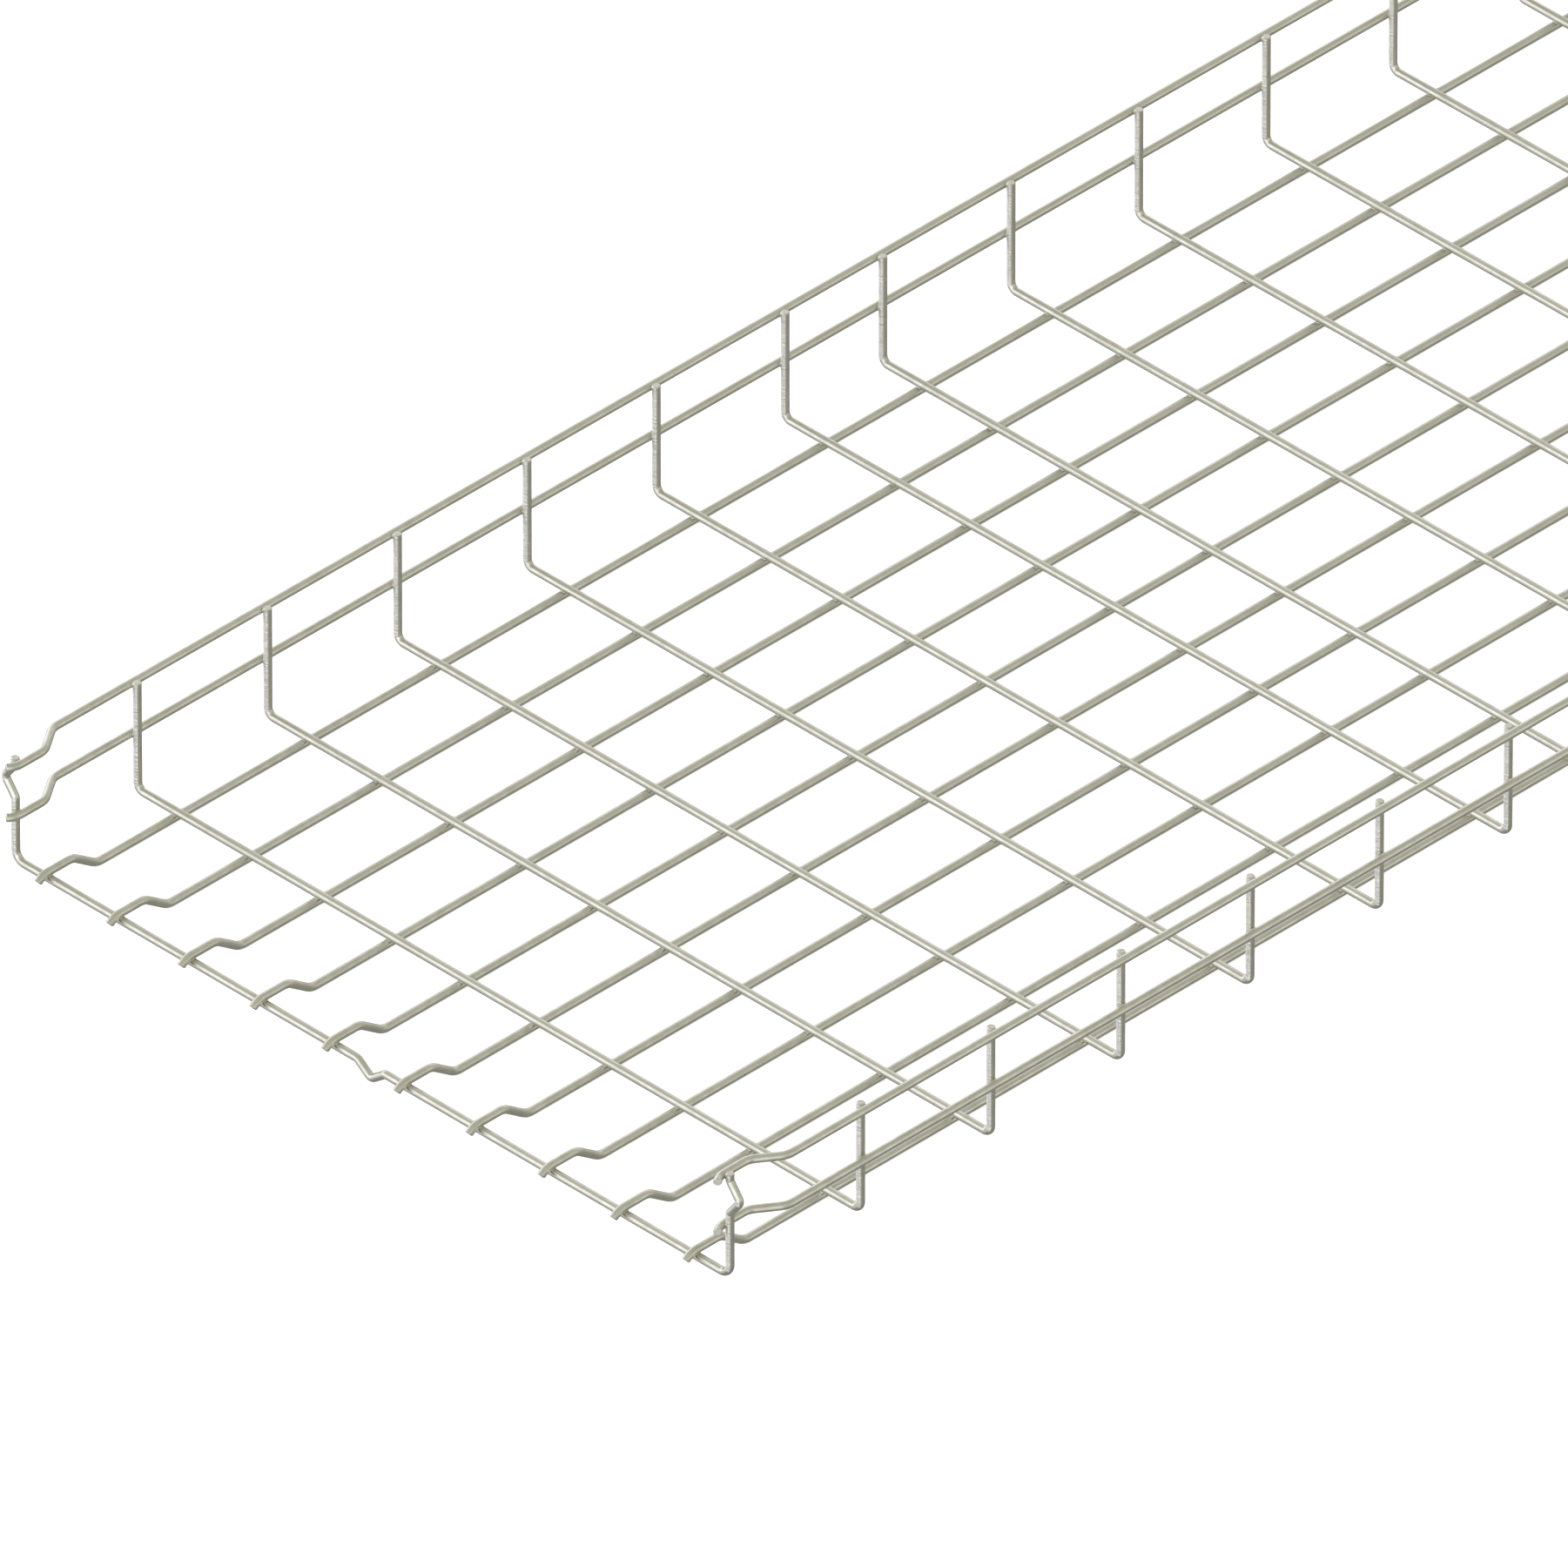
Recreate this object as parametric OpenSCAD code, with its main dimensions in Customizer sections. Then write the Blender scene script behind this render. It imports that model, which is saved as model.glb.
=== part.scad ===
// Wire mesh cable basket: one length of welded wire tray with a push-together connector end.
// Round floor wires and side rails run the whole length. U-shaped cross wires lie inside them and
// are welded on at every crossing. At the connector end the long wires step inwards by two wires,
// lie inside the latch wire and hook over it, so the end slips into the plain end of the next basket.
// X runs along the basket from the connector end, Y across it and Z up. The origin is at the middle
// of the underside.

/* [Basket] */
// Length from the tips of the hooks to the plain end
basket_length = 3000; // [1500:5:3400]
// Height from the underside to the top of the side rails
basket_height = 70.5; // [50:0.5:120]
// Distance between the centrelines of a cross wire's two uprights
upright_spacing = 502; // [150:1:620]
// Diameter of every wire
wire_d = 4.5; // [3.6:0.1:5.4]
// How deep two wires sink into each other at a weld
weld_sink = 0.5; // [0.2:0.05:0.8]

/* [Mesh] */
// Length of a full bay, from one cross wire to the next
full_bay = 90; // [85:1:140]
// Length of the one short bay that makes up the length
short_bay = 68.5; // [40:0.5:85]
// Number of full bays between the connector end's bay and the short bay
full_bays_before = 5; // [1:1:10]
// Least length of wire past the last cross wire
least_overhang = 20; // [10:1:60]
// Distance between floor wires
floor_spacing = 50; // [40:1:80]
// Distance between the two rails of a side
rail_spacing = 30; // [20:0.5:40]
// Centreline radius of the two corners of a cross wire
corner_r = 4.5; // [4:0.5:12]

/* [Connector end] */
// Distance from the latch wire to the first cross wire
latch_bay = 87; // [70:1:120]
// How far the latch wire lies inside the line of the cross wires
latch_inset = 3; // [2:0.5:5]
// Slope of a latch, the V that the latch wire makes outwards into the outer layer of wires
latch_angle = 37; // [30:1:45]
// Inside radius of the bends of a latch
latch_inside_r = 1; // [0.5:0.1:3]
// How far a latch stays inside the outer face of the outer layer
latch_lift = 0.5; // [0:0.1:1]
// Distance from the top rails down to the middle of the side latches
side_latch_drop = 12; // [11:0.1:15]
// Centreline radius of the two corners of the latch wire
latch_corner_r = 6.2; // [4:0.1:12]
// Distance from the latch wire to the inner end of the step in the long wires
step_start = 16.4; // [14:0.1:24]
// Length of the sloping part of the step
step_run = 16; // [12:0.5:20]
// Distance from the latch wire to the tip of a hook
hook_reach = 9; // [8.8:0.1:12]
// Angle by which a hook is bent outwards
hook_angle = 39; // [30:1:42]
// Centreline radius of the bends in the long wires
long_bend_r = 11; // [6:0.5:12]

/* [Hidden] */
$fn = 48;
wire_r = wire_d / 2;
// bent wire swells by a hair, and its bends lap the straight stretches by a short length
bend_swell = 0.02;
bend_lap = 0.2;

// distance between the centrelines of two wires that are welded together
weld_gap = wire_d - weld_sink;

// heights of the layers
floor_wire_z = wire_r;
cross_wire_z = floor_wire_z + weld_gap;
top_rail_z = basket_height - wire_r;
mid_rail_z = top_rail_z - rail_spacing;
rail_heights = [top_rail_z, mid_rail_z];

// places across the basket
upright_y = upright_spacing / 2;
rail_y = upright_y + weld_gap;
floor_wires = floor(upright_spacing / floor_spacing);
function floor_wire_y(i) = (i - (floor_wires - 1) / 2) * floor_spacing;

// places along the basket
hook_end_x = -basket_length / 2;
plain_end_x = basket_length / 2;
latch_x = hook_end_x + hook_reach;
first_cross_x = latch_x + latch_bay;
after_short_x = first_cross_x + full_bays_before * full_bay + short_bay;
bays_after = floor((plain_end_x - least_overhang - after_short_x) / full_bay);
cross_xs = concat(
    [for (i = [0 : full_bays_before]) first_cross_x + i * full_bay],
    [for (i = [0 : bays_after]) after_short_x + i * full_bay]
);

// the latch wire lies one inset inside the cross wires, and the bends of its latches, which cut
// the corners of the V, reach into the outer layer
latch_z = cross_wire_z + latch_inset;
latch_y = upright_y - latch_inset;
latch_bend_r = wire_r + latch_inside_r;
latch_depth = latch_inset + weld_gap - latch_lift + latch_bend_r * (1 / cos(latch_angle) - 1);
latch_half_width = latch_depth / tan(latch_angle);
side_latch_z = top_rail_z - side_latch_drop;

// the long wires step inwards until they seat inside the latch wire
step_in = latch_inset + 2 * weld_gap;

function two_digits(n) = n < 10 ? str("0", n) : str(n);
function floor_wire_name(i) = str("floor_wire_", two_digits(i + 1));
function cross_wire_name(i) = str("cross_wire_", two_digits(i + 1));

// turn of a flat path at its point i, in degrees, positive to the left
function turn_at(path, i) =
    let (a = path[i] - path[i - 1], b = path[i + 1] - path[i])
    atan2(a[0] * b[1] - a[1] * b[0], a * b);
// distance from a corner of a path to the start of its bend
function setback(turn, bend_r) = bend_r * tan(abs(turn) / 2);
function setback_at(path, bend_rs, i) =
    i == 0 || i == len(path) - 1 ? 0 : setback(turn_at(path, i), bend_rs[i - 1]);

// a round wire along a flat path of straight stretches, with one bend radius for each corner
module bent_wire(path, bend_rs) {
    for (i = [0 : len(path) - 2]) {
        stretch = path[i + 1] - path[i];
        start = setback_at(path, bend_rs, i);
        end = norm(stretch) - setback_at(path, bend_rs, i + 1);
        translate(path[i]) rotate([0, 0, atan2(stretch[1], stretch[0])]) {
            translate([start, 0, 0]) rotate([0, 90, 0]) cylinder(d = wire_d, h = end - start);
            if (i < len(path) - 2) {
                turn = turn_at(path, i + 1);
                bend_r = bend_rs[i];
                lap = bend_lap / bend_r * 180 / PI;
                translate([end, sign(turn) * bend_r, 0])
                    rotate([0, 0, (turn > 0 ? -90 : 90 + turn) - lap])
                    rotate_extrude(angle = abs(turn) + 2 * lap)
                    translate([bend_r, 0]) circle(d = wire_d + 2 * bend_swell);
            }
        }
    }
}

// a long wire seen flat: its length along x, and the way into the basket along y; its hook starts
// to bend where it crosses the latch wire
module long_wire() {
    corner = hook_reach - setback(hook_angle, long_bend_r);
    tip = wire_r * sin(hook_angle);
    bent_wire([
        [tip, step_in - (corner - tip) * tan(hook_angle)],
        [corner, step_in],
        [hook_reach + step_start, step_in],
        [hook_reach + step_start + step_run, 0],
        [basket_length, 0]
    ], [long_bend_r, long_bend_r, long_bend_r]);
}

module floor_wire(i) {
    color("DarkGray")
        translate([hook_end_x, floor_wire_y(i), floor_wire_z]) rotate([90, 0, 0]) long_wire();
}

// side is 1 on the left, looking from the connector end, and -1 on the right
module rail(side, z) {
    color("Silver")
        translate([hook_end_x, side * rail_y, z]) scale([1, -side, 1]) long_wire();
}

// the straight long wires where a cross wire at x = 0 seats on them
module seats() {
    seat_length = 4 * wire_d;
    for (i = [0 : floor_wires - 1])
        translate([-seat_length / 2, floor_wire_y(i), floor_wire_z])
            rotate([0, 90, 0]) cylinder(d = wire_d, h = seat_length);
    for (side = [-1, 1], z = rail_heights)
        translate([-seat_length / 2, side * rail_y, z])
            rotate([0, 90, 0]) cylinder(d = wire_d, h = seat_length);
}

module cross_wire(x) {
    color("LightGray") translate([x, 0, 0]) difference() {
        rotate([90, 0, 90]) bent_wire([
            [-upright_y, basket_height],
            [-upright_y, cross_wire_z],
            [upright_y, cross_wire_z],
            [upright_y, basket_height]
        ], [corner_r, corner_r]);
        seats();
    }
}

// the three points of a latch, in the direction along the wire and the direction outwards
function latch_points(at, along, out) = [
    at - along * latch_half_width,
    at + out * latch_depth,
    at + along * latch_half_width
];

module latch_wire() {
    color("LightGray") difference() {
        translate([latch_x, 0, 0]) rotate([90, 0, 90]) latch_hoop();
        for (i = [0 : floor_wires - 1]) floor_wire(i);
        for (side = [-1, 1], z = rail_heights) rail(side, z);
    }
}

// the latch wire's uprights and floor stretch each carry one latch at their middle
module latch_hoop() {
    up = [0, 1];
    across = [1, 0];
    latch_rs = [latch_bend_r, latch_bend_r, latch_bend_r];
    bent_wire(concat(
        [[-latch_y, basket_height]],
        latch_points([-latch_y, side_latch_z], -up, -across),
        [[-latch_y, latch_z]],
        latch_points([0, latch_z], across, -up),
        [[latch_y, latch_z]],
        latch_points([latch_y, side_latch_z], up, across),
        [[latch_y, basket_height]]
    ), concat(latch_rs, latch_corner_r, latch_rs, latch_corner_r, latch_rs));
}

for (i = [0 : floor_wires - 1])
    floor_wire(i);
rail(1, top_rail_z);  // left_top_rail
rail(1, mid_rail_z);  // left_mid_rail
rail(-1, top_rail_z);  // right_top_rail
rail(-1, mid_rail_z);  // right_mid_rail
latch_wire();
for (i = [0 : len(cross_xs) - 1])
    cross_wire(cross_xs[i]);
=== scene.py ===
import math
import random

import bpy
from mathutils import Matrix, Quaternion, Vector


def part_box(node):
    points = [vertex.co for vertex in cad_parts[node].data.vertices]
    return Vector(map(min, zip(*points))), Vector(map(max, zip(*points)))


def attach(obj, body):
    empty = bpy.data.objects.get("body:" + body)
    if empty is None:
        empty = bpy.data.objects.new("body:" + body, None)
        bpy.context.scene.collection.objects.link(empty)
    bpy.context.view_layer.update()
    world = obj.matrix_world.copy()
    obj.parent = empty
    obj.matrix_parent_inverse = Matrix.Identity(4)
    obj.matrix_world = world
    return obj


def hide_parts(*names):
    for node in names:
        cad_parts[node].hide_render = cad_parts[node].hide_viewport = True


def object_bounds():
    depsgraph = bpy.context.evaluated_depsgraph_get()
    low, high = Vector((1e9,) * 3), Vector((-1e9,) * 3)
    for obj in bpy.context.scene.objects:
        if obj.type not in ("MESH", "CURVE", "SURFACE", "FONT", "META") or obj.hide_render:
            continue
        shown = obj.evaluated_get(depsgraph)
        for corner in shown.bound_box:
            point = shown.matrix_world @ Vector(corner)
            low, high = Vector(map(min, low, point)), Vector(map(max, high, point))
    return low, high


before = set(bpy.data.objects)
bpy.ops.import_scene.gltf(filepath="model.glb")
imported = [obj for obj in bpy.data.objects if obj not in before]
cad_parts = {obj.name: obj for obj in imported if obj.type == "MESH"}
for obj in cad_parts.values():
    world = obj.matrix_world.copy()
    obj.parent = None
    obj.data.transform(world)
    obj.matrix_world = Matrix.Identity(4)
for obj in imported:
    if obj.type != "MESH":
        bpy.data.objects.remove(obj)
cad_low, cad_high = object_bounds()


# ---- Floor wires ----
# Ten lengths of drawn mild steel wire, cut off by a shear, lie side by side as the lowest layer.
# A press has stepped one end of each into the basket and bent its tip back down into a hook.
# The whole basket is bright zinc plated once it is welded, so every wire has the same finish.

MM = 0.001
BEND_SWELL = 0.02 * MM      # the solids' bends are this much fatter than the wire
WIRE_SIDES = 32
CUT_ROUNDING = 0.4 * MM     # the edge of a cut end, as the shear and the plating leave it
BEND_STEP = math.radians(6)
SMOOTH_ANGLE = math.radians(30)
PATTERN_RUN = 10            # metres of the finish's pattern, somewhere in which a copy begins

floor_wires = sorted(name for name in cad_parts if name.startswith("floor_wire_"))
floor_low, floor_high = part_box(floor_wires[0])
WIRE_R = (floor_high.y - floor_low.y) / 2 - BEND_SWELL
FLOOR_WIRE_Z = floor_low.z + WIRE_R + BEND_SWELL
RING_REACH = 1.01 * WIRE_R  # a ring's points are no further than this from its middle

HOOK_TIP_X = cad_low.x
PLAIN_END_X = cad_high.x
HOOK_REACH = 9 * MM         # from the hooks' tips to the latch wire, where the hooks' bends begin
HOOK_ANGLE = math.radians(39)
STEP_IN = 11 * MM
STEP_START = 16.4 * MM      # from the latch wire
STEP_RUN = 16 * MM
LONG_BEND_R = 11 * MM


def grow_ring(factor, at):
    bpy.ops.transform.resize(value=(factor, factor, factor), center_override=at)


def draw_on(way):
    bpy.ops.mesh.extrude_region_move(TRANSFORM_OT_translate={"value": way})


def ring_of(point, rings):
    """The number of the ring that a point of a wire is on, in whose plane and reach it lies."""
    misses = []
    for middle, heading in rings:
        out = point - middle
        misses.append(abs(out.dot(heading)) + max(0, out.length - RING_REACH))
    return misses.index(min(misses))


def map_wire(piece, rings, normal):
    """Gives a wire a map whose u is the metres along it and whose v is the turn round it."""
    lengths = [0]
    for (a, _), (b, _) in zip(rings, rings[1:]):
        lengths.append(lengths[-1] + (b - a).length)
    mesh = piece.data
    wire_map = mesh.uv_layers.new(name="wire_map")
    ring_at = [ring_of(vertex.co, rings) for vertex in mesh.vertices]
    for face in mesh.polygons:
        turns = []
        for loop in face.loop_indices:
            vertex = mesh.loops[loop].vertex_index
            middle, heading = rings[ring_at[vertex]]
            out = mesh.vertices[vertex].co - middle
            turns.append(math.atan2(out.dot(heading.cross(normal)), out.dot(normal)) / math.tau)
        for loop, turn in zip(face.loop_indices, turns):
            # a side face that crosses the map's seam goes on past a full turn
            if len(turns) == 4 and max(turns) - turn > 0.5:
                turn += 1
            wire_map.data[loop].uv = (lengths[ring_at[mesh.loops[loop].vertex_index]], turn)


def model_wire(name, path, bend_rs, normal):
    """Models a round wire along a flat path with this normal, with one bend radius for each corner.
    Its cut end is extruded along each straight stretch and spun round each corner."""
    bpy.ops.object.select_all(action="DESELECT")
    heading = (path[1] - path[0]).normalized()
    cut_r = WIRE_R - CUT_ROUNDING
    bpy.ops.mesh.primitive_circle_add(
        vertices=WIRE_SIDES, radius=cut_r, fill_type="NGON", location=path[0],
        rotation=heading.to_track_quat("Z", "X").to_euler())
    piece = bpy.context.object
    piece.name = name
    bpy.ops.object.mode_set(mode="EDIT")
    bpy.ops.mesh.select_mode(type="FACE")
    bpy.ops.mesh.select_all(action="SELECT")
    place = path[0] + heading * CUT_ROUNDING
    draw_on(place - path[0])
    grow_ring(WIRE_R / cut_r, place)
    rings = [(path[0], heading), (place, heading)]
    for corner, after, bend_r in zip(path[1:-1], path[2:], bend_rs):
        next_heading = (after - corner).normalized()
        angle = heading.angle(next_heading)
        setback = bend_r * math.tan(angle / 2)
        bend_start = corner - heading * setback
        draw_on(bend_start - place)
        axis = heading.cross(next_heading).normalized()
        hub = bend_start + axis.cross(heading) * bend_r
        steps = max(3, math.ceil(angle / BEND_STEP))
        # with no window, spin turns the other way about its axis
        bpy.ops.mesh.spin(steps=steps, angle=angle, center=hub, axis=-axis)
        for step in range(steps + 1):
            turned = Matrix.Rotation(angle * step / steps, 3, axis)
            rings.append((hub + turned @ (bend_start - hub), turned @ heading))
        heading = next_heading
        place = corner + heading * setback
    cut_start = path[-1] - heading * CUT_ROUNDING
    draw_on(cut_start - place)
    draw_on(path[-1] - cut_start)
    grow_ring(cut_r / WIRE_R, path[-1])
    rings += [(cut_start, heading), (path[-1], heading)]
    bpy.ops.mesh.select_all(action="SELECT")
    bpy.ops.mesh.remove_doubles(threshold=WIRE_R / 1000)
    bpy.ops.mesh.normals_make_consistent(inside=False)
    bpy.ops.object.mode_set(mode="OBJECT")
    bpy.ops.object.transform_apply(location=True, rotation=True, scale=True)
    bpy.ops.object.shade_smooth_by_angle(angle=SMOOTH_ANGLE)
    map_wire(piece, rings, normal)
    return piece


def copy_wire(wire, name, place, turn=0):
    """A copy with its own mesh, turned about x, with the finish's pattern begun elsewhere."""
    bpy.ops.object.select_all(action="DESELECT")
    piece = wire.copy()
    piece.data = wire.data.copy()
    piece.name = piece.data.name = name
    bpy.context.collection.objects.link(piece)
    piece.rotation_euler.x = turn
    piece.location = place
    piece.select_set(True)
    bpy.context.view_layer.objects.active = piece
    bpy.ops.object.transform_apply(location=True, rotation=True, scale=True)
    start = random.uniform(0, PATTERN_RUN)
    for corner in piece.data.uv_layers["wire_map"].data:
        corner.uv.x += start
    return piece


def linear(hex_colour):
    channels = [int(hex_colour[i:i + 2], 16) / 255 for i in (1, 3, 5)]
    return [*(c / 12.92 if c <= 0.04045 else ((c + 0.055) / 1.055) ** 2.4 for c in channels), 1]


def add_node(tree, kind, inputs, **settings):
    """Adds a node with its settings, and sets or links its inputs."""
    node = tree.nodes.new("ShaderNode" + kind)
    for setting, value in settings.items():
        setattr(node, setting, value)
    for socket, value in inputs.items():
        if isinstance(value, bpy.types.NodeSocket):
            tree.links.new(value, node.inputs[socket])
        else:
            node.inputs[socket].default_value = value
    return node


# Bright zinc plate, 8 microns of metal over drawn mild steel: a satin, slightly warm grey whose
# highlights are broad and soft. It follows the wire's faint drawing lines, and it is a little
# duller and yellower in patches, where it came out of the passivating bath last.
ZINC = "#D6D5C8"
DULL_ZINC = "#CAC9B9"
BRIGHT_ROUGHNESS = 0.27
DULL_ROUGHNESS = 0.34
ZINC_PATCH = 5 * MM
BRIGHT_BELOW = 0.35         # the noise that makes the patches is bright below this
DULL_ABOVE = 0.65
DRAWING_LINE = 0.45 * MM    # the real lines are a tenth of this, too fine to show
DRAWING_LINE_LENGTH = 70 * MM
DRAWING_LINE_DEPTH = 0.01 * MM
# the Mix node has sockets of every kind under the same names, so those for colours go by number
COLOUR_A = 6
COLOUR_B = 7
MIXED_COLOUR = 2


def place_on_wire(tree):
    """Where the surface would be with the wire pulled straight: metres along it, and across."""
    on_map = add_node(tree, "UVMap", {}, uv_map="wire_map").outputs["UV"]
    on_wire = add_node(tree, "SeparateXYZ", {"Vector": on_map})
    turn = add_node(tree, "Math", {0: on_wire.outputs["Y"], 1: math.tau}, operation="MULTIPLY")
    section = []
    for ratio in ("COSINE", "SINE"):
        share = add_node(tree, "Math", {0: turn.outputs["Value"]}, operation=ratio)
        out = add_node(tree, "Math", {0: share.outputs["Value"], 1: WIRE_R}, operation="MULTIPLY")
        section.append(out.outputs["Value"])
    straight = add_node(tree, "CombineXYZ", {"X": on_wire.outputs["X"], "Y": section[0],
                                             "Z": section[1]})
    return straight.outputs["Vector"]


def start_zinc(name):
    """Starts a material of bare metal, to whose tree and shader the zinc's patterns are added."""
    material = bpy.data.materials.new(name)
    material.use_nodes = True
    shader = material.node_tree.nodes["Principled BSDF"]
    shader.inputs["Metallic"].default_value = 1
    return material, material.node_tree, shader


def add_patches(tree, shader, place):
    """Gives the shader the zinc's bright and dull patches, and returns their colour."""
    patches = add_node(tree, "TexNoise", {"Vector": place, "Scale": 1 / ZINC_PATCH, "Detail": 3})
    dullness = add_node(tree, "MapRange", {"Value": patches.outputs["Fac"],
                                           "From Min": BRIGHT_BELOW, "From Max": DULL_ABOVE})
    dullness = dullness.outputs["Result"]
    roughness = add_node(tree, "MapRange", {"Value": dullness, "To Min": BRIGHT_ROUGHNESS,
                                            "To Max": DULL_ROUGHNESS})
    colour = add_node(tree, "Mix", {"Factor": dullness, COLOUR_A: linear(ZINC),
                                    COLOUR_B: linear(DULL_ZINC)},
                      data_type="RGBA").outputs[MIXED_COLOUR]
    tree.links.new(roughness.outputs["Result"], shader.inputs["Roughness"])
    tree.links.new(colour, shader.inputs["Base Color"])
    return colour


def add_drawing_lines(tree, place):
    """Adds the lines that the die leaves along a drawn wire, and returns their normal."""
    lines_per_metre = (1 / DRAWING_LINE_LENGTH, 1 / DRAWING_LINE, 1 / DRAWING_LINE)
    stretched = add_node(tree, "VectorMath", {0: place, 1: lines_per_metre}, operation="MULTIPLY")
    lines = add_node(tree, "TexNoise", {"Vector": stretched.outputs["Vector"], "Scale": 1.0,
                                        "Detail": 2})
    return add_node(tree, "Bump", {"Height": lines.outputs["Fac"],
                                   "Distance": DRAWING_LINE_DEPTH}).outputs["Normal"]


zinc_on_wire, tree, shader = start_zinc("bright_zinc_on_drawn_wire")
place = place_on_wire(tree)
add_patches(tree, shader, place)
tree.links.new(add_drawing_lines(tree, place), shader.inputs["Normal"])

random.seed(7)
# how far the corner of a hook's bend and the middle of its cut end lie from the hook's tip
hook_corner = HOOK_REACH - LONG_BEND_R * math.tan(HOOK_ANGLE / 2)
tip = WIRE_R * math.sin(HOOK_ANGLE)
long_path = [
    Vector((HOOK_TIP_X + tip, 0, STEP_IN - (hook_corner - tip) * math.tan(HOOK_ANGLE))),
    Vector((HOOK_TIP_X + hook_corner, 0, STEP_IN)),
    Vector((HOOK_TIP_X + HOOK_REACH + STEP_START, 0, STEP_IN)),
    Vector((HOOK_TIP_X + HOOK_REACH + STEP_START + STEP_RUN, 0, 0)),
    Vector((PLAIN_END_X, 0, 0)),
]
long_wire = model_wire("long_wire", long_path, [LONG_BEND_R] * 3, Vector((0, 1, 0)))
long_wire.data.materials.append(zinc_on_wire)
floor_ys = []
for node in floor_wires:
    low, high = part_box(node)
    floor_ys.append((low.y + high.y) / 2)
    wire = copy_wire(long_wire, "drawn_" + node, (0, floor_ys[-1], FLOOR_WIRE_Z))
    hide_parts(node)
    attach(wire, "root")


# ---- Side rails ----
# Two wires like the floor wires run along the outside of each side, one level with the tops of
# the uprights and one below it. They are turned on their side, so they too step inwards.

rails_y = {}
rails_z = {}
for node in ["left_top_rail", "left_mid_rail", "right_top_rail", "right_mid_rail"]:
    low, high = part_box(node)
    side = 1 if high.y > 0 else -1
    rail_y = side * (max(high.y, -low.y) - WIRE_R - BEND_SWELL)
    rail_z = (low.z + high.z) / 2
    rail = copy_wire(long_wire, "drawn_" + node, (0, rail_y, rail_z), side * math.pi / 2)
    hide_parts(node)
    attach(rail, "root")
    rails_y[node] = rail_y
    rails_z[node] = rail_z
bpy.data.objects.remove(long_wire)


# ---- Latch wire ----
# One wire is bent up at both ends like the cross wires, but lies outside the long wires, in the
# hooks of their stepped ends. A press has formed a V in the middle of its floor stretch and in
# each upright between the rails, and the three Vs snap over the next length's end.

LATCH_BEND_R = WIRE_R + 1 * MM
LATCH_CORNER_R = 6.2 * MM
LATCH_ANGLE = math.radians(37)
LATCH_INSET = 3 * MM
LATCH_REACH = 6.5 * MM      # how far the latches come out from the line of the wire
SIDE_LATCH_DROP = 12 * MM   # from the top rails down to the middle of the side latches
cross_low, cross_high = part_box("cross_wire_01")
CROSS_Z = cross_low.z + WIRE_R + BEND_SWELL
UPRIGHT_Y = cross_high.y - WIRE_R - BEND_SWELL
TOP_Z = cross_high.z
latch_low, latch_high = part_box("latch_wire")
LATCH_X = (latch_low.x + latch_high.x) / 2
latch_depth = LATCH_REACH + LATCH_BEND_R * (1 / math.cos(LATCH_ANGLE) - 1)
latch_half_width = latch_depth / math.tan(LATCH_ANGLE)
side_latch_z = rails_z["left_top_rail"] - SIDE_LATCH_DROP
latch_y = UPRIGHT_Y - LATCH_INSET
latch_z = CROSS_Z + LATCH_INSET

ALONG_X = Vector((1, 0, 0))
UP = Vector((0, 0, 1))
TO_LEFT = Vector((0, 1, 0))


def latch_points(at, along, out):
    return [at - along * latch_half_width, at + out * latch_depth, at + along * latch_half_width]


latch_path = [
    Vector((LATCH_X, -latch_y, TOP_Z)),
    *latch_points(Vector((LATCH_X, -latch_y, side_latch_z)), -UP, -TO_LEFT),
    Vector((LATCH_X, -latch_y, latch_z)),
    *latch_points(Vector((LATCH_X, 0, latch_z)), TO_LEFT, -UP),
    Vector((LATCH_X, latch_y, latch_z)),
    *latch_points(Vector((LATCH_X, latch_y, side_latch_z)), UP, TO_LEFT),
    Vector((LATCH_X, latch_y, TOP_Z)),
]
latch_rs = [LATCH_BEND_R] * 3
latch_bend_rs = [*latch_rs, LATCH_CORNER_R, *latch_rs, LATCH_CORNER_R, *latch_rs]

# The same zinc over formed wire: the upright stretches also have fine uneven marks across them,
# on the side that the bending tool pressed. These break the light up into short bands, and that
# side is painted whiter in the same bands, a painted sheen for the light that falls on it.
PAINTED_SHEEN_ZINC = "#F4F3EA"
TOOL_MARK = 1 * MM          # the real marks are half as long, and far shallower
TOOL_MARK_DEPTH = 0.7 * MM
UPRIGHT_FROM = 0.85         # how steeply the wire runs, 1 being plumb
UPRIGHT_FULL = 0.98
PRESSED_FROM = -0.4         # how far the surface faces +x, the tool's side being -1
PRESSED_FULL = -0.7
BAND_FROM = 0.4             # the noise that makes the marks, where a band of painted sheen starts
BAND_FULL = 0.6
SHEEN_BETWEEN_BANDS = 0.45        # how much painted sheen the zinc has between the bands

zinc_on_formed_wire, tree, shader = start_zinc("bright_zinc_on_formed_wire")
place = place_on_wire(tree)
plain_colour = add_patches(tree, shader, place)
drawn = add_drawing_lines(tree, place)
along = add_node(tree, "SeparateXYZ", {"Vector": place})
marks = add_node(tree, "TexNoise", {"W": along.outputs["X"], "Scale": 1 / TOOL_MARK, "Detail": 4,
                                    "Roughness": 0.65}, noise_dimensions="1D").outputs["Fac"]
wire_way = add_node(tree, "Tangent", {}, direction_type="UV_MAP", uv_map="wire_map")
wire_rise = add_node(tree, "SeparateXYZ", {"Vector": wire_way.outputs["Tangent"]})
steepness = add_node(tree, "Math", {0: wire_rise.outputs["Z"]}, operation="ABSOLUTE")
upright = add_node(tree, "MapRange", {"Value": steepness.outputs["Value"],
                                      "From Min": UPRIGHT_FROM, "From Max": UPRIGHT_FULL})
outward = add_node(tree, "TexCoord", {}).outputs["Normal"]
facing = add_node(tree, "SeparateXYZ", {"Vector": outward})
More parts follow.
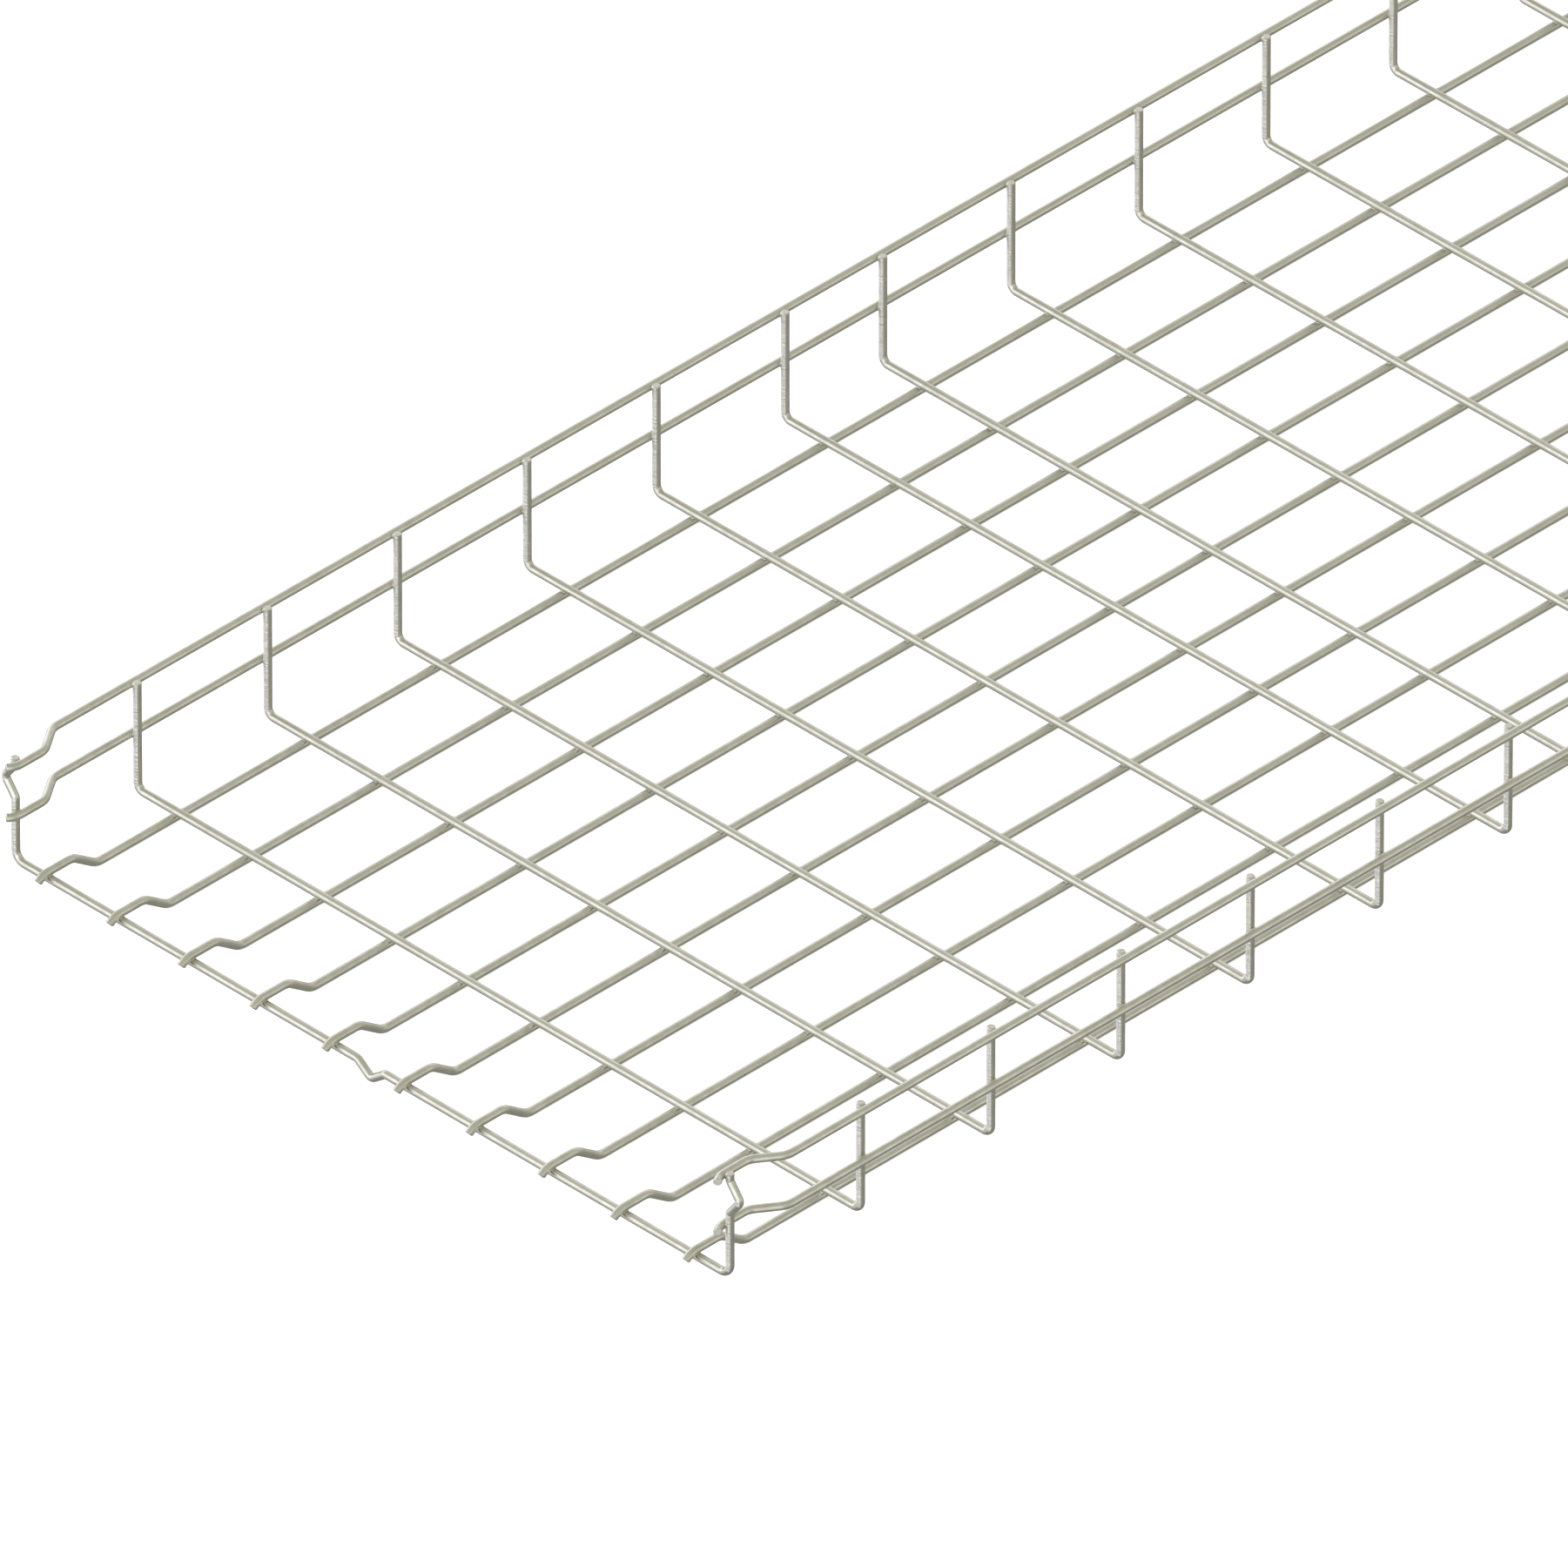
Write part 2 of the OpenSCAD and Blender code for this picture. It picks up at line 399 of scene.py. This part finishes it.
pressed = add_node(tree, "MapRange", {"Value": facing.outputs["X"],
                                      "From Min": PRESSED_FROM, "From Max": PRESSED_FULL})
marked = add_node(tree, "Math", {0: upright.outputs["Result"], 1: pressed.outputs["Result"]},
                  operation="MULTIPLY").outputs["Value"]
# the painted sheen: whiter zinc in bands on the marked side of the upright stretches
sheen_banding = add_node(tree, "MapRange", {"Value": marks, "From Min": BAND_FROM,
                                      "From Max": BAND_FULL, "To Min": SHEEN_BETWEEN_BANDS})
painted_sheen = add_node(tree, "Math", {0: sheen_banding.outputs["Result"], 1: marked}, operation="MULTIPLY")
colour = add_node(tree, "Mix", {"Factor": painted_sheen.outputs["Value"], COLOUR_A: plain_colour,
                                COLOUR_B: linear(PAINTED_SHEEN_ZINC)}, data_type="RGBA")
tree.links.new(colour.outputs[MIXED_COLOUR], shader.inputs["Base Color"])
height = add_node(tree, "Math", {0: marks, 1: marked}, operation="MULTIPLY")
across = add_node(tree, "Bump", {"Height": height.outputs["Value"], "Distance": TOOL_MARK_DEPTH,
                                 "Normal": drawn})
tree.links.new(across.outputs["Normal"], shader.inputs["Normal"])

latch_wire = model_wire("formed_latch_wire", latch_path, latch_bend_rs, ALONG_X)
latch_wire.data.materials.append(zinc_on_formed_wire)
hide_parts("latch_wire")
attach(latch_wire, "root")


# ---- Cross wires ----
# Each cross wire is one length of the same wire with its ends bent up square, so that it makes
# the floor and both sides. It is sheared flush with the top of the top rails.

CORNER_R = 4.5 * MM

cross_wires = sorted(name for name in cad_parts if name.startswith("cross_wire_"))
cross_path = [
    Vector((0, -UPRIGHT_Y, TOP_Z)),
    Vector((0, -UPRIGHT_Y, CROSS_Z)),
    Vector((0, UPRIGHT_Y, CROSS_Z)),
    Vector((0, UPRIGHT_Y, TOP_Z)),
]
cross_wire = model_wire("cross_wire", cross_path, [CORNER_R] * 2, ALONG_X)
cross_wire.data.materials.append(zinc_on_formed_wire)
cross_xs = []
for node in cross_wires:
    low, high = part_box(node)
    cross_xs.append((low.x + high.x) / 2)
    wire = copy_wire(cross_wire, "formed_" + node, (cross_xs[-1], 0, 0))
    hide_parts(node)
    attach(wire, "root")
bpy.data.objects.remove(cross_wire)


# ---- Welds ----
# Every crossing is resistance welded: current and pressure sink the two wires half a millimetre
# into each other and squeeze a small bead of melted steel out round the seam. There is no filler.

WELD_SIDES = 12
WELD_RINGS = 6
WELD_R = 2.1 * MM
WELD_HEIGHT = 0.85 * MM     # half the thickness of a bead, at most
WELD_R_SHARES = (0.9, 1.05)     # between which the beads differ
WELD_HEIGHT_SHARES = (0.8, 1)
SPATTER = 0.6 * MM
SPATTER_HEIGHT = 0.05 * MM

# The same zinc over metal that melted and froze, which left it uneven, so it glints less.
zinc_on_welds, tree, shader = start_zinc("bright_zinc_on_welds")
place = add_node(tree, "TexCoord", {}).outputs["Object"]
add_patches(tree, shader, place)
spatter = add_node(tree, "TexNoise", {"Vector": place, "Scale": 1 / SPATTER, "Detail": 2})
uneven = add_node(tree, "Bump", {"Height": spatter.outputs["Fac"], "Distance": SPATTER_HEIGHT})
tree.links.new(uneven.outputs["Normal"], shader.inputs["Normal"])

bpy.ops.object.select_all(action="DESELECT")
bpy.ops.mesh.primitive_uv_sphere_add(segments=WELD_SIDES, ring_count=WELD_RINGS, radius=1)
weld_bead = bpy.context.object
bpy.ops.object.shade_smooth()
weld_bead.data.materials.append(zinc_on_welds)


def weld_crossings(name, crossings):
    """Makes a piece with a bead in each crossing, which is a middle and the direction in which its
    two wires were pressed together."""
    beads = []
    for middle, pressed in crossings:
        bead = weld_bead.copy()
        bead.data = weld_bead.data.copy()
        bpy.context.collection.objects.link(bead)
        bead.location = middle
        bead.rotation_mode = "QUATERNION"
        bead.rotation_quaternion = (pressed.to_track_quat("Z", "X")
                                    @ Quaternion((0, 0, 1), random.uniform(0, math.tau)))
        bead.scale = (WELD_R * random.uniform(*WELD_R_SHARES),
                      WELD_R * random.uniform(*WELD_R_SHARES),
                      WELD_HEIGHT * random.uniform(*WELD_HEIGHT_SHARES))
        beads.append(bead)
    bpy.ops.object.select_all(action="DESELECT")
    for bead in beads:
        bead.select_set(True)
    bpy.context.view_layer.objects.active = beads[0]
    bpy.ops.object.join()
    bpy.ops.object.transform_apply(location=True, rotation=True, scale=True)
    welds = bpy.context.object
    welds.name = welds.data.name = name
    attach(welds, "root")


floor_seam_z = (FLOOR_WIRE_Z + CROSS_Z) / 2
side_seam_y = (UPRIGHT_Y + rails_y["left_top_rail"]) / 2
for side_name, side in [("left", 1), ("right", -1)]:
    weld_crossings("welds_of_" + side_name + "_rails", [
        (Vector((x, side * side_seam_y, rails_z[side_name + level])), TO_LEFT)
        for x in cross_xs for level in ("_top_rail", "_mid_rail")])
for wire_number, y in enumerate(floor_ys, 1):
    weld_crossings(f"welds_of_floor_wire_{wire_number:02d}",
                   [(Vector((x, y, floor_seam_z)), UP) for x in cross_xs])
latch_seam_z = (latch_z + FLOOR_WIRE_Z + STEP_IN) / 2
latch_seam_y = (latch_y + rails_y["left_top_rail"] - STEP_IN) / 2
weld_crossings("welds_of_latch_wire", [
    *((Vector((LATCH_X, y, latch_seam_z)), UP) for y in floor_ys),
    *((Vector((LATCH_X, side * latch_seam_y, rails_z["left" + level])), TO_LEFT)
      for side in (1, -1) for level in ("_top_rail", "_mid_rail"))])
bpy.data.objects.remove(weld_bead)


# ---- Floor, light and camera ----
# The basket stands on a floor painted matt white, in a light tent: a studio with walls and ceiling
# of white cloth lit from outside, so that the light is soft and comes from all round. The floor
# glows a little by itself, and it isn't mirrored in the wires.

FLOOR_SIZE = 60             # metres
FLOOR_WHITE = "#F2F2F0"
FLOOR_ROUGHNESS = 0.9
FLOOR_GLOW = 0.6
WHITE = (1, 1, 1, 1)

bpy.ops.object.select_all(action="DESELECT")
bpy.ops.mesh.primitive_plane_add(size=FLOOR_SIZE, location=(0, 0, cad_low.z))
floor = bpy.context.object
floor.name = "pale_floor"
floor_paint = bpy.data.materials.new("white_floor_paint")
floor_paint.use_nodes = True
floor_shader = floor_paint.node_tree.nodes["Principled BSDF"]
floor_shader.inputs["Base Color"].default_value = linear(FLOOR_WHITE)
floor_shader.inputs["Roughness"].default_value = FLOOR_ROUGHNESS
floor_shader.inputs["Emission Color"].default_value = WHITE
floor_shader.inputs["Emission Strength"].default_value = FLOOR_GLOW
floor.data.materials.append(floor_paint)
floor.visible_glossy = False
floor.visible_diffuse = False

# The tent has a soft ceiling, a darker floor cloth, and a wall that glows most a little above eye
# level, to the left of the connector end. Soft boxes stand behind the camera, past the connector
# end and on both sides. Heights are those of a direction, from -1 straight down to 1 straight up.
WALL_MIDDLE = 0.38
WALL_TOP = 0.75
WALL_FOOT = -0.82
FLOOR_EDGE = -0.11
CEILING_EDGE = -0.06
WALL_AZIMUTH = 128          # degrees round from +x
CEILING_LIGHT = (0.61, 0.61, 0.56, 1)
FLOOR_LIGHT = (0.335, 0.34, 0.325, 1)
WALL_LIGHT = (1.14, 1.14, 1.36, 1)
# each soft box by its degrees round from +x and up, its half width in degrees, and its light
SOFT_BOXES = [
    (-141, -6, 50, (0.63, 0.64, 0.67, 1)),
    (-64, 2, 30, (0.48, 0.47, 0.48, 1)),
    (104, -30, 30, (0.43, 0.42, 0.48, 1)),
    (-178, -21, 30, (0.29, 0.30, 0.40, 1)),
]

world = bpy.data.worlds.new("light_tent")
world.use_nodes = True
bpy.context.scene.world = world
tree = world.node_tree
tree.nodes.clear()
way = add_node(tree, "TexCoord", {}).outputs["Generated"]
height = add_node(tree, "SeparateXYZ", {"Vector": way}).outputs["Z"]


def nearness(azimuth, elevation):
    """The cosine of the angle to a direction, given in degrees round from +x and up."""
    azimuth, elevation = math.radians(azimuth), math.radians(elevation)
    middle = (math.cos(azimuth) * math.cos(elevation),
              math.sin(azimuth) * math.cos(elevation), math.sin(elevation))
    cosine = add_node(tree, "VectorMath", {0: way, 1: middle}, operation="DOT_PRODUCT")
    return cosine.outputs["Value"]


# a glow is a light and the ramps whose product is its strength, each of them a value, where the
# ramp starts and where it is full
glows = [
    (CEILING_LIGHT, [(height, FLOOR_EDGE, CEILING_EDGE)]),
    (FLOOR_LIGHT, [(height, CEILING_EDGE, FLOOR_EDGE)]),
    (WALL_LIGHT, [(height, WALL_TOP, WALL_MIDDLE), (height, WALL_FOOT, WALL_MIDDLE),
                  (nearness(WALL_AZIMUTH, 0), -1, 1)]),
]
for azimuth, elevation, half_width, light in SOFT_BOXES:
    edge = math.cos(math.radians(half_width))
    glows.append((light, [(nearness(azimuth, elevation), edge, 1)]))

tent = None
for light, ramps in glows:
    strength = None
    for value, start, full in ramps:
        ramp = add_node(tree, "MapRange", {"Value": value, "From Min": start, "From Max": full},
                        interpolation_type="SMOOTHSTEP").outputs["Result"]
        if strength:
            both = add_node(tree, "Math", {0: strength, 1: ramp}, operation="MULTIPLY")
            strength = both.outputs["Value"]
        else:
            strength = ramp
    glow = add_node(tree, "Background", {"Color": light, "Strength": strength})
    if tent:
        added = add_node(tree, "AddShader", {0: tent, 1: glow.outputs["Background"]})
        tent = added.outputs["Shader"]
    else:
        tent = glow.outputs["Background"]
# the camera sees a white backdrop past the floor, and only the wires see the tent
backdrop = add_node(tree, "Background", {"Color": WHITE}).outputs["Background"]
seen = add_node(tree, "LightPath", {}).outputs["Is Camera Ray"]
surroundings = add_node(tree, "MixShader", {"Fac": seen, 1: tent, 2: backdrop}).outputs["Shader"]
add_node(tree, "OutputWorld", {"Surface": surroundings})

# The camera looks along the diagonal of the basket's three directions, at the connector end and
# the first bays. It stands so far off, with so long a lens, that all three show at one scale.
TOWARD_CAMERA = Vector((-1, -1, 1)).normalized()
LENS = 1700
SENSOR = 36
VIEW_WIDTH = 770.9 * MM
VIEW_CENTRE = Vector((cross_xs[0] + 227.9 * MM, 29.7 * MM, CROSS_Z))
NEAREST_SHOWN = 0.1         # as shares of the distance to the middle of the view
FURTHEST_SHOWN = 2

camera_data = bpy.data.cameras.new("camera")
camera_data.lens = LENS
camera_data.sensor_width = SENSOR
camera = bpy.data.objects.new("camera", camera_data)
bpy.context.collection.objects.link(camera)
distance = VIEW_WIDTH * LENS / SENSOR
camera.location = VIEW_CENTRE + TOWARD_CAMERA * distance
camera.rotation_euler = (-TOWARD_CAMERA).to_track_quat("-Z", "Y").to_euler()
camera_data.clip_start = distance * NEAREST_SHOWN
camera_data.clip_end = distance * FURTHEST_SHOWN
bpy.context.scene.camera = camera
bpy.context.scene.view_settings.view_transform = "Standard"
